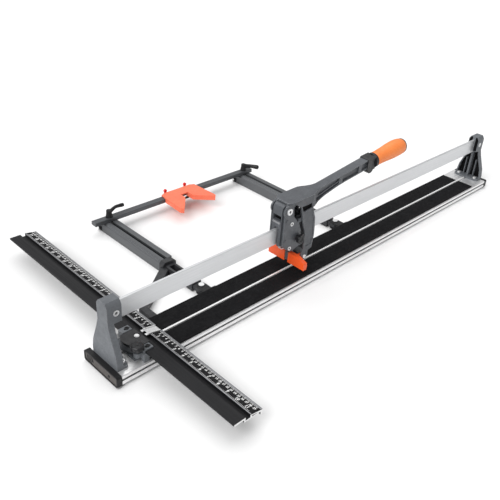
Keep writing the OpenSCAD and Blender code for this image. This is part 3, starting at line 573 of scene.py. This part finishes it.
def scale_marks():
    """White ticks and numerals: centimetres along one edge, inches along the other."""
    mesh = bmesh.new()
    lift = 0.12
    outer = slope_w - wide_rib - 0.5
    # unit in mm, ticks to a unit, edge of the ticks, their direction, numerals' base and size
    rows = ((10.0, 5, outer, -1, 15.8, 6.6), (25.4, 8, 3.2, 1, 7.4, 9.0))
    for side, reach in ((1, strip_hi.y / MM), (-1, -strip_lo.y / MM)):
        for unit, parts, edge, grow, base, size in rows:
            for step in range(int(zero_half * parts / unit) + 1, int((reach - 3) * parts / unit)):
                long = step % parts == 0
                width = 1.2 if long else 0.7
                ends = sorted((edge, edge + grow * (3.6 if long else 2.2)))
                bar(mesh, (-width / 2, ends[0], 0), (width / 2, ends[1], lift),
                    on_strip(side * step * unit / parts * MM))
            for value in range(1, int((reach - 5) / unit) + 1):
                if value * unit < zero_half + 5:
                    continue
                data = numeral(str(value), size)
                at = on_strip(side * value * unit * MM)
                at = at @ Matrix.Translation((0, base * MM, lift * MM))
                first = len(mesh.verts)
                mesh.from_mesh(data)
                mesh.verts.ensure_lookup_table()
                for vert in mesh.verts[first:]:
                    vert.co = at @ (Vector((vert.co.x, vert.co.y, 0)) * MM)
                bpy.data.meshes.remove(data)
    return piece("fence_scale_marks", mesh, "fence", PRINT)


scale_marks()


def fence_ribs():
    """Bright ribs along both borders of each strip: a narrow round one and a wide flat one."""
    mesh = bmesh.new()
    rib_r, sink = 1.3, 0.5
    flat = slope_w - wide_rib
    wide = [(slope_w, -sink), (slope_w, 0.3), (slope_w - 0.6, 0.8), (flat + 0.6, 0.8),
            (flat, 0.3), (flat, -sink)]
    for y0, y1 in ((strip_lo.y, -zero_half * MM), (zero_half * MM, strip_hi.y)):
        for section in (arc(rib_r, 0, 180, 8, (rib_r, -sink)), wide):
            length = (y1 - y0) / MM
            loft(mesh, [[(x, y, z) for y, z in section] for x in (0, length)], on_strip(y1))
    piece("fence_ribs", mesh, "fence", RIB)


fence_ribs()


def channel_teeth():
    """Bent teeth on both flanges of the bright zero channel."""
    lo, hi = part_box("fence_zero_bracket")
    mesh = bmesh.new()
    tooth, rise, wall = 5.2, 3.2, 1.4
    start = 6.5
    count = 5
    for side in (-1, 1):
        y = side * ((hi.y - lo.y) / 2 / MM - 0.75)
        for i in range(count):
            x = start + tooth * 1.15 * i
            z = (hi.z - lo.z) / MM - 2.4 - x * strip_drop / strip_w
            outline = [(x, z), (x + tooth, z - 1), (x + 0.72 * tooth, z + rise),
                       (x + 0.3, z + rise)]
            at = place(Vector((lo.x, y * MM, lo.z)), -Y, X)
            plate(mesh, outline, -wall / 2, wall / 2, at)
    piece("zero_channel_teeth", mesh, "fence", STEEL, edge=0.2)


channel_teeth()


def fence_clamp_knob():
    """Six-lobed knob with a domed top, on its screw."""
    lo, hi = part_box("fence_knob")
    center = middle("fence_knob")
    height = (hi.z - lo.z) / MM
    top = 12.5
    skirt = height - top

    def lobes(a, h):
        fade = max(0.0, min(1.0, (height - 2.4 - h) / 4))
        return 1 - 0.13 * fade * (0.5 - 0.5 * math.cos(6 * a)) ** 0.8

    mesh = bmesh.new()
    at = Matrix.Translation(Vector((center.x, center.y, lo.z)))
    turned(mesh, [(3.5, 0), (3.5, skirt)], at, 24)
    profile = [(8, 0), (12.2, 0.1), (14.0, 1.0), (14.9, 2.6), (14.9, 6.2), (14.3, 8.0), (12.6, 9.8),
               (10.2, 11.1), (7.2, 11.9), (4.6, 12.2), (4.3, 11.8), (3.9, 11.8), (3.6, 12.3),
               (2.0, 12.5), (0.2, 12.5)]
    turned(mesh, [(r, skirt + h) for r, h in profile], at, 96, lobes)
    piece("fence_lobed_knob", mesh, "fence_knob", SATIN, ("fence_knob",))


fence_clamp_knob()


# ---- Carriage: the lock knob and bearing seals ----

pivot = middle("hinge_bolt")


def carriage_lock_knob():
    """Fluted knob on the side plate."""
    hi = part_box("lock_knob")[1]
    center = middle("lock_knob")
    stem = 17.0

    def flutes(a, h):
        grip = 1.0 if 3.8 < h < 13.2 else 0.0
        return 1 - 0.2 * grip * max(0.0, math.cos(9 * a)) ** 1.6

    mesh = bmesh.new()
    at = place(Vector((center.x, hi.y - stem * MM, center.z)), -Y, X)
    turned(mesh, [(4, -stem), (4, 1)], at, 24)
    turned(mesh, [(7.9, 0), (7.9, 3.4), (9.6, 3.9), (10.8, 4.9), (11, 6), (11, 11), (10.6, 12.2),
                  (9.4, 13), (6.6, 13), (6.0, 12.6), (5.6, 11.6), (3, 11.3), (0.3, 11.9)],
           at, 108, flutes)
    piece("carriage_fluted_knob", mesh, "lock_knob", SATIN, ("lock_knob",))


carriage_lock_knob()


def carriage_liners():
    """Painted shade: a dark sheet in the column's window and dark discs in the sockets of the bolt
    heads, where they are in shade.
    """
    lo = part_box("carriage_column")[0]
    mesh = bmesh.new()
    back, half, low, high, lip = 8.3, 11.6, -25.0, -12.5, 1.2
    at = Matrix.Translation((lo.x, 0, pivot.z))
    ring = [(-half, low), (half, low), (half, high), (-half, high)]
    rings = [[(back + 0.6, y, z) for y, z in ring], [(back, y, z) for y, z in ring],
             [(back + 0.2, y * (1 - lip / half), z + (lip if z == low else -lip)) for y, z in ring]]
    loft(mesh, rings, at)
    for spot, face in ((pivot, -23.4), (middle("roller_upper_front"), -22.9),
                       (middle("roller_lower_front"), -22.9)):
        socket = place(Vector((spot.x, face * MM, spot.z)), -Y, X)
        turned(mesh, [(2.8, -0.4), (2.8, 0.1), (1.9, 0.3), (1.5, -0.1), (0.2, -0.2)], socket, 6)
    piece("carriage_liners", mesh, "carriage", SHADE_BLACK)


carriage_liners()


def rail_bolt_sockets():
    """Painted shade: dark discs in the sockets of the two cross bolts."""
    mesh = bmesh.new()
    lo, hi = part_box("rail_bolts")
    head_r, head_t = 6.5 * MM, 2.9 * MM
    for x in (lo.x + head_r, hi.x - head_r):
        socket = place(Vector((x, lo.y + head_t, (lo.z + hi.z) / 2)), -Y, X)
        turned(mesh, [(3.2, -0.4), (3.2, 0.1), (2.2, 0.4), (1.7, -0.1), (0.2, -0.2)], socket, 6)
    piece("rail_bolt_sockets", mesh, "root", SHADE_BLACK)


rail_bolt_sockets()


def bearing_seals(node):
    """Dark dished seals in both faces of a bearing."""
    lo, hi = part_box(node)
    center = middle(node)
    radius = (hi.x - lo.x) / 2 / MM
    mesh = bmesh.new()
    for side in (-1, 1):
        face = hi.y if side > 0 else lo.y
        at = place(Vector((center.x, face, center.z)), Y * side, X)
        rings = [(radius - 2.2, -0.9), (radius - 2.6, -0.35), (radius - 3.4, -0.45), (6.4, -0.45),
                 (6.2, -0.95)]
        loops = []
        for r, h in rings:
            ring = [(r * math.cos(a), r * math.sin(a), h)
                    for a in [2 * math.pi * k / 40 for k in range(40)]]
            loops.append([mesh.verts.new(at @ (Vector(p) * MM)) for p in ring])
        loops.append(loops[0])
        for low, high in zip(loops, loops[1:]):
            for i in range(40):
                j = (i + 1) % 40
                mesh.faces.new((low[i], low[j], high[j], high[i]))
    piece(node + "_seals", mesh, node, SEAL)


for row in ("upper_front", "upper_rear", "lower_front", "lower_rear"):
    bearing_seals("roller_" + row)


# ---- Lever: painted shade behind the hood's windows, and grip ----


def hood_liner():
    """Painted shade: black sheets behind the hood's windows, where the hood's inside is in shade,
    folded over at their upper edge.
    """
    mesh = bmesh.new()
    at = Matrix.Translation(pivot)
    outline = [(33, 4), (33, 15.8), (80.5, 15.8), (80.5, -13), (76, -14.5), (43.5, -17.5)]
    for side in (-1, 1):
        rings = [[(x, side * y, z) for x, z in outline] for y in (22.3, 21.6)]
        rings.append([(x * 0.96 + 2.4, side * 20.9, z * 0.94 + 0.4) for x, z in outline])
        loft(mesh, rings, at)
    piece("hood_window_shades", mesh, "lever", SHADE_BLACK)


hood_liner()

grip_tilt = math.radians(5.1)
grip_axis = Vector((math.cos(grip_tilt), 0, math.sin(grip_tilt)))
grip_start = pivot + Vector((336, 0, 31)) * MM


def soft_grip():
    """Grip with a bead and a groove at its front and a blunt, slanted end, and its end cap."""
    # radius, height along the axis, drop below the axis, lean of the ring
    profile = [(12, 0.2, 0, 0), (17.3, 0.4, 0, 0), (18.1, 1.4, 0, 0), (18.1, 4.2, 0, 0),
               (17.5, 4.8, 0, 0), (17.5, 5.7, 0, 0), (18.3, 6.4, 0, 0), (18.6, 20, 0, 0),
               (19.0, 30, 0, 0), (19.6, 40, 0, 0), (20.2, 49, 0, 0), (20.9, 58, 0, 0),
               (21.5, 66, 0, 0), (22.0, 74, 0, 0), (22.3, 81, 0, 0), (22.4, 87, 0, 0.3),
               (22.4, 94, 0, 0.8), (22.2, 100, 0.2, 1.3), (21.8, 106, 0.6, 1.8),
               (21.2, 111, 1.1, 2.2), (20.5, 115, 1.7, 2.6), (19.8, 118, 2.2, 2.9)]
    cap = [(19.9, 118, 2.2, 2.9), (20.1, 118.7, 2.2, 2.9), (19.9, 121.2, 2.3, 3.0),
           (19.2, 122, 2.5, 3.0), (17.4, 122.6, 2.7, 3.0), (14, 122.9, 2.8, 3.0)]
    at = place(grip_start, grip_axis, -Y)
    for name, outline, look, slot, node in (
            ("soft_grip", profile, GRIP, "grip_orange", "lever_grip"),
            ("grip_end_cap", cap, SATIN, "black_plastic", "grip_cap")):
        rings = [[(r * math.cos(a), r * math.sin(a) + drop, height - lean * math.sin(a))
                  for a in [2 * math.pi * k / 64 for k in range(64)]]
                 for r, height, drop, lean in outline]
        mesh = bmesh.new()
        loft(mesh, rings, at)
        piece(name, mesh, "lever", look, (node,))


soft_grip()


# ---- Side arms: scales, painted shade in the slots and the V stop's throat, clamping levers and thumb screws ----


def arm_scale(name):
    """Fine ticks on the slanted shoulder of an arm."""
    lo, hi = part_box("arm_" + name)
    bevel = 7.0
    shoulder = Vector((1, 0, 1)).normalized()
    normal = Vector((-1, 0, 1)).normalized()
    mesh = bmesh.new()
    first, pitch = 10, 5
    length = (hi.y - lo.y) / MM
    for i in range(int((length - 2 * first) / pitch) + 1):
        y = lo.y + (first + i * pitch) * MM
        at = place(Vector((lo.x, y, hi.z - bevel * MM)), normal, shoulder)
        long = 6.2 if i % 2 == 0 else 3.6
        bar(mesh, (2.0, -0.35, -0.05), (2.0 + long, 0.35, 0.1), at)
    piece("arm_scale_" + name, mesh, "arm_" + name, TICK)


def slot_liner(name):
    """Painted shade: black strip on the floor of an arm's T-slot, where the slot is in shade, with
    its edges turned up.
    """
    lo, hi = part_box("arm_" + name)
    floor, half = 19.6, 7.8
    section = [(-half, 0), (half, 0), (half, 1.0), (half - 0.4, 1.0), (half - 0.8, 0.4),
               (0.8 - half, 0.4), (0.4 - half, 1.0), (-half, 1.0)]
    mesh = bmesh.new()
    loft(mesh, [[(x, y / MM, floor + z) for x, z in section] for y in (lo.y, hi.y)],
         Matrix.Translation(((lo.x + hi.x) / 2, 0, lo.z)))
    piece("slot_shade_strip_" + name, mesh, "arm_" + name, SHADE_BLACK)


def clamp_handle(name, turn, rise, thick):
    """Clamping lever: a turned hub and a cranked round handle with a ball end."""
    node = "clamp_lever_" + name
    bolt = middle("clamp_bolt_" + name)
    base = Vector((bolt.x, bolt.y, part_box(node)[0].z))
    mesh = bmesh.new()
    turned(mesh, [(9.3, 0), (9.5, 0.8), (9.2, 2), (7.8, 10.5), (7.5, 12), (7.5, 18.6), (6.8, 19.8),
                  (4.8, 20), (4.6, 19.2), (0.3, 19.1)], Matrix.Translation(base), 40)
    spin = Matrix.Rotation(math.radians(turn), 4, "Z")
    stations = [(2, 0, 0, 4.5), (8, 0.6, 0.28, 4.4), (15, 1.4, 0.65, 4.1), (21, 1.9, 0.92, 4.0),
                (27, 1.6, 1.0, 4.0), (35, 0, 1.02, 4.3), (41, -1.5, 1.04, 4.7),
                (44.6, -2.4, 1.05, 4.4), (46.6, -2.9, 1.05, 3.2), (47.5, -3.1, 1.05, 1.2)]
    path = [(base + spin @ (Vector((x, y, 14 + climb * rise)) * MM), thick * r * MM)
            for x, y, climb, r in stations]
    tube(mesh, path)
    piece("clamp_handle_" + name, mesh, node, BLACK, (node,))


def wing_screw(name):
    """Wing screw with a knurled hub and two paddle-shaped wings."""
    node = "thumb_screw_" + name
    lo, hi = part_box(node)
    center = middle(node)
    stem, hub, tip = 5.0, 5.2, 5.1
    reach = (hi.z - lo.z) / 2 / MM - tip
    at = place(Vector((center.x, lo.y + stem * MM, center.z)), Y, Z)

    def knurl(a, h):
        return 1 - 0.06 * max(0.0, math.cos(12 * a))

    mesh = bmesh.new()
    turned(mesh, [(3, -stem), (3, 0.2)], at, 24)
    turned(mesh, [(hub - 0.8, 0), (hub, 0.7), (hub, 3), (hub - 0.4, 7.6), (hub - 1.4, 8.9),
                  (0.3, 9)], at, 72, knurl)
    for side in (-1, 1):
        outline = [(side * 2, -2.8), (side * (reach - 3), -3.2)]
        outline += [(side * (reach + tip * math.cos(a)), tip * math.sin(a))
                    for a in [math.radians(-90 + 15 * k) for k in range(13)]]
        outline += [(side * (reach - 3), 3.2), (side * 2, 2.8)]
        plate(mesh, outline, 2.6, 7.4, at)
    piece("wing_screw_" + name, mesh, node, WING, (node,), 0.8)


def sawn_end(name, side):
    """Bright sawn face on one end of the fence profile, taken from its own end faces."""
    source = frame["nodes"]["fence_profile"]
    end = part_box("fence_profile")[side > 0].y
    mesh = bmesh.new()
    corners = {}
    sunk, thick, flat_within = 0.2 * MM, 0.35 * MM, 0.01 * MM
    for face in source.data.polygons:
        points = [source.matrix_world @ source.data.vertices[i].co for i in face.vertices]
        if any(abs(p.y - end) > flat_within for p in points):
            continue
        keys = [(round(p.x, 6), round(p.z, 6)) for p in points]
        for key in keys:
            if key not in corners:
                corners[key] = mesh.verts.new((key[0], end - side * sunk, key[1]))
        mesh.faces.new([corners[key] for key in keys])
    grown = bmesh.ops.extrude_face_region(mesh, geom=mesh.faces[:])["geom"]
    outer = [item for item in grown if isinstance(item, bmesh.types.BMVert)]
    bmesh.ops.translate(mesh, vec=(0, side * thick, 0), verts=outer)
    piece("fence_sawn_" + name, mesh, "fence", BRIGHT)


def throat_liner():
    """Painted shade: black lip under the throat of the V stop, where the relief is in shade."""
    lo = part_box("v_stop")[0]
    throat_x, throat_y = 65, 63
    outline = [(-11.5, 1.5), (-10, 0), (12, 0), (13.5, 1.5), (13.5, 10.5), (-11.5, 10.5)]
    corner = Matrix.Translation((lo.x + throat_x * MM, lo.y + throat_y * MM, lo.z))
    mesh = bmesh.new()
    plate(mesh, outline, 0.3, 1.3, corner)
    piece("throat_liner", mesh, "v_stop", SHADE_BLACK, edge=0.2)


def cap_screw(name):
    """Bright pan-head screw on the boss of an arm's tip cap."""
    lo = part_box("arm_cap_" + name)[0]
    arm_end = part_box("arm_" + name)[1].y
    past_end, boss_height = 1, 9
    mesh = bmesh.new()
    at = place(Vector((lo.x, arm_end + past_end * MM, lo.z + boss_height * MM)), -X, Y)
    turned(mesh, [(3.6, -0.4), (3.6, 0.3), (3.1, 1.0), (1.6, 1.3), (1.4, 0.6), (0.2, 0.5)], at, 28)
    piece("cap_screw_" + name, mesh, "arm_" + name, STEEL)


for arm_name, handle_turn, handle_rise, thickness in (("near", 4, 7, 1.1), ("far", -48, 0, 1.45)):
    arm_scale(arm_name)
    cap_screw(arm_name)
    slot_liner(arm_name)
    clamp_handle(arm_name, handle_turn, handle_rise, thickness)
sawn_end("near", -1)
sawn_end("far", 1)
throat_liner()
for screw_name in ("left", "right"):
    wing_screw(screw_name)


# ---- Floor, light and camera ----


def studio():
    """Pale floor and soft lights."""
    floor_mesh = bmesh.new()
    turned(floor_mesh, [(9000, -30), (9000, 0)], steps=64)
    data = bpy.data.meshes.new("floor")
    floor_mesh.to_mesh(data)
    floor_mesh.free()
    floor = bpy.data.objects.new("floor", data)
    bpy.context.scene.collection.objects.link(floor)
    pale = Look("pale floor", (0.93, 0.93, 0.93), 0.85, Specular_IOR_Level=0.2)
    pale.tint(pale.noise(0.8), (0.9, 0.9, 0.9), 0.6)
    floor.data.materials.append(pale.material)

    world = bpy.data.worlds.new("studio")
    world.use_nodes = True
    sky = world.node_tree.nodes["Background"]
    sky.inputs["Color"].default_value = (1, 1, 1, 1)
    sky.inputs["Strength"].default_value = 0.38
    bpy.context.scene.world = world

    for name, offset, spread, strength in (
        ("key", (-2.0, -0.2, 1.8), 40, 2.1),
        ("top", (0.5, 0.9, 2.6), 70, 1.35),
    ):
        light = bpy.data.lights.new(name, "SUN")
        light.angle = math.radians(spread)
        light.energy = strength
        lamp = bpy.data.objects.new(name, light)
        lamp.location = cad_hi + Vector(offset)
        lamp.rotation_euler = (-Vector(offset)).to_track_quat("-Z", "Y").to_euler()
        bpy.context.scene.collection.objects.link(lamp)


def photo_camera():
    """Camera at the photograph's viewing angle; it leans a little to one side."""
    target = Vector((-0.3205, 0, 0.1325))
    distance = 1.4233
    azimuth, elevation, roll = (math.radians(a) for a in (-136.77, 31.54, 4.32))
    back = Vector((math.cos(elevation) * math.cos(azimuth),
                   math.cos(elevation) * math.sin(azimuth), math.sin(elevation)))
    level = (-back).cross(Z).normalized()
    upright = level.cross(-back)
    right = level * math.cos(roll) + upright * math.sin(roll)
    up = upright * math.cos(roll) - level * math.sin(roll)
    axes = Matrix((right, up, back)).transposed().to_4x4()
    camera = bpy.data.cameras.new("camera")
    camera.lens = 46.16
    camera.sensor_width = 36
    camera.clip_start = 0.05
    camera.clip_end = 30
    holder = bpy.data.objects.new("camera", camera)
    holder.matrix_world = Matrix.Translation(target + back * distance) @ axes
    bpy.context.scene.collection.objects.link(holder)
    bpy.context.scene.camera = holder


studio()
photo_camera()
bpy.context.scene.view_settings.view_transform = "Standard"
